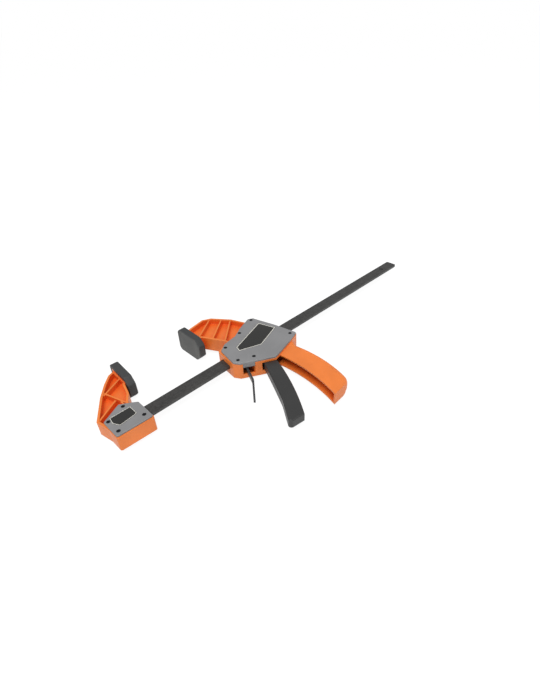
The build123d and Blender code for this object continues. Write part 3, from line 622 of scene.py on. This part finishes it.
def coil_spring(name, node, turns, outer, wire):
    """A compression spring: a round wire carried along a helix that closes up at both ends.

    The helix turns evenly about its axis. Its step along X is just over one wire thickness a
    turn in the end turns and grows between them by a smooth window, scaled so that the coil
    fills the node's length. The wire's circle stands on the coil's outward normal and its
    binormal; outer is the coil's radius and wire is the wire's.
    """
    low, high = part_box(node)
    wound = np.linspace(0, turns, turns * COIL_STEPS + 1)
    window = ((np.minimum(wound, turns - wound) - CLOSED_TURNS) / OPENING_TURNS).clip(0, 1)
    window = window ** 2 * (3 - 2 * window)
    opened = np.append(0.0, np.cumsum(window[1:] + window[:-1]))
    closed = CLOSED_PITCH * wire * wound
    length = high[0] - low[0] - 2 * wire
    along = low[0] + wire + closed + (length - closed[-1]) * opened / opened[-1]
    angle = 2 * np.pi * wound
    outward = np.stack([np.zeros_like(angle), np.cos(angle), np.sin(angle)], axis=1)
    centre_line = np.stack([along, np.full_like(angle, SPRING_AXIS), 0 * angle], axis=1)
    path = (outer - wire) * outward + centre_line
    ahead = np.gradient(path, axis=0)
    ahead /= np.linalg.norm(ahead, axis=1)[:, None]
    binormal = np.cross(ahead, outward)
    section = np.linspace(0, 2 * np.pi, WIRE_AROUND, endpoint=False)[None, :, None]
    circle = np.cos(section) * outward[:, None, :] + np.sin(section) * binormal[:, None, :]
    piece = surface_piece(name, path[:, None, :] + wire * circle, "head", "spring_steel")
    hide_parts(node)
    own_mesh(piece)


coil_spring("drive_spring_coil", "drive_spring", turns=9, outer=5.0 * MM, wire=0.6 * MM)
coil_spring("brake_spring_coil", "brake_spring", turns=4, outer=4.2 * MM, wire=0.5 * MM)

# ================================================================== finishes of the CAD nodes
NODES_WITH = {
    "black_steel": ["bar"],
    "orange_nylon": ["fixed_jaw", "head_housing"],
    "grey_cover": ["fixed_jaw_cover", "head_cover"],
    "badge_insert": ["head_badge"],
    "black_screw": ["fixed_jaw_cover_screws", "head_cover_screws"],
    "black_nylon": ["trigger"],
    "lever_steel": ["release_lever"],
    "bright_steel": ["fixed_jaw_anchor_pins", "trigger_pivot_pin", "release_lever_fulcrum_pin",
                     "drive_plate_1", "drive_plate_2"],
}
for finish_name, node_names in NODES_WITH.items():
    for node_name in node_names:
        material_slots = NODES[node_name].data.materials
        material_slots.clear()
        material_slots.append(FINISHES[finish_name])

# ================================================================== studio
FLOOR_GAP = 0.0002
FLOOR_LEVEL = CAD_LOW.z - FLOOR_GAP
FLOOR_HALF, FLOOR_GLOW = 40.0, 0.82
WORLD_LEVEL = 0.52
LAMP_TARGET, LAMP_SIZE = (0.2, -0.1, 0.0), 1.2
KEY_PLACE, KEY_POWER = (-0.55, -0.45, 1.75), 25.0
FILL_PLACE, FILL_POWER = (0.9, -1.4, 1.3), 5.0


def studio_white(name, colour, glow):
    """A matt surface that the camera and glossy rays see mostly as plain white.

    The glow is the share of white mixed in. Its strength makes up for what the air's light leaves
    short of white, (1 - (1 - glow) * light * colour) / glow, so that only the shadow shows.
    """
    material = bpy.data.materials.new(name)
    material.use_nodes = True
    tree = material.node_tree
    tree.nodes.clear()
    matt = tree.nodes.new("ShaderNodeBsdfDiffuse")
    matt.inputs["Color"].default_value = (*colour, 1.0)
    white = tree.nodes.new("ShaderNodeEmission")
    white.inputs["Strength"].default_value = (1.0 - (1.0 - glow) * WORLD_LEVEL * colour[0]) / glow
    rays = tree.nodes.new("ShaderNodeLightPath")
    seen = calc(tree, "MAXIMUM", rays.outputs["Is Camera Ray"], rays.outputs["Is Glossy Ray"])
    seen = calc(tree, "MAXIMUM", seen, rays.outputs["Is Transmission Ray"])
    mix = tree.nodes.new("ShaderNodeMixShader")
    tree.links.new(calc(tree, "MULTIPLY", seen, glow), mix.inputs[0])
    tree.links.new(matt.outputs[0], mix.inputs[1])
    tree.links.new(white.outputs[0], mix.inputs[2])
    out = tree.nodes.new("ShaderNodeOutputMaterial")
    tree.links.new(mix.outputs[0], out.inputs["Surface"])
    return material


def lay_floor():
    """A wide pale square just under the clamp."""
    mesh = bpy.data.meshes.new("studio_floor")
    corners = [(-1, -1), (1, -1), (1, 1), (-1, 1)]
    mesh.from_pydata([(FLOOR_HALF * x, FLOOR_HALF * y, FLOOR_LEVEL) for x, y in corners],
                     [], [(0, 1, 2, 3)])
    floor = bpy.data.objects.new("studio_floor", mesh)
    bpy.context.scene.collection.objects.link(floor)
    mesh.materials.append(studio_white("floor_white", FLOOR_WHITE, FLOOR_GLOW))


def fill_air():
    """Even light on the object from all round, which the camera and clear things see as white."""
    world = bpy.data.worlds.new("studio_air")
    bpy.context.scene.world = world
    world.use_nodes = True
    tree = world.node_tree
    air = tree.nodes["Background"]
    air.inputs["Color"].default_value = (1.0, 1.0, 1.0, 1.0)
    rays = tree.nodes.new("ShaderNodeLightPath")
    seen = calc(tree, "MAXIMUM", rays.outputs["Is Camera Ray"], rays.outputs["Is Transmission Ray"])
    level = calc(tree, "MULTIPLY_ADD", seen, 1.0 - WORLD_LEVEL, WORLD_LEVEL)
    tree.links.new(level, air.inputs["Strength"])


def soft_lamp(name, place, power):
    """A square area lamp that faces a point near the clamp's middle."""
    lamp = bpy.data.lights.new(name, "AREA")
    lamp.shape = "SQUARE"
    lamp.size = LAMP_SIZE
    lamp.energy = power
    holder = bpy.data.objects.new(name, lamp)
    holder.location = place
    holder.rotation_mode = "QUATERNION"
    holder.rotation_quaternion = (Vector(LAMP_TARGET) - Vector(place)).to_track_quat("-Z", "Y")
    bpy.context.scene.collection.objects.link(holder)


lay_floor()
fill_air()
soft_lamp("key_softbox", KEY_PLACE, KEY_POWER)
soft_lamp("fill_softbox", FILL_PLACE, FILL_POWER)

# ================================================================== camera
CAMERA_PLACE = Vector((-0.19782, -0.55049, 0.45630))
CAMERA_RIGHT = Vector((0.71204873, -0.7012105, -0.03592278))
CAMERA_DOWN = Vector((-0.44690043, -0.41315922, -0.79346043))
CAMERA_AHEAD = Vector((0.54154096, 0.5810364, -0.60756078))
FOCAL_PIXELS, IMAGE_HEIGHT = 436.094, 700.0
SENSOR = 36.0
CLIP_NEAR, CLIP_FAR = 0.02, 50.0


def place_camera():
    """The camera at its place, turned so that its own axes lie along the three directions."""
    data = bpy.data.cameras.new("camera")
    data.sensor_fit = "VERTICAL"
    data.sensor_height = SENSOR
    data.sensor_width = SENSOR
    data.lens = SENSOR * FOCAL_PIXELS / IMAGE_HEIGHT
    data.clip_start, data.clip_end = CLIP_NEAR, CLIP_FAR
    camera = bpy.data.objects.new("camera", data)
    bpy.context.scene.collection.objects.link(camera)
    turned = Matrix((CAMERA_RIGHT, -CAMERA_DOWN, -CAMERA_AHEAD)).transposed()
    camera.matrix_world = Matrix.Translation(CAMERA_PLACE) @ turned.to_4x4()
    bpy.context.scene.camera = camera


place_camera()
bpy.context.scene.view_settings.view_transform = "Standard"
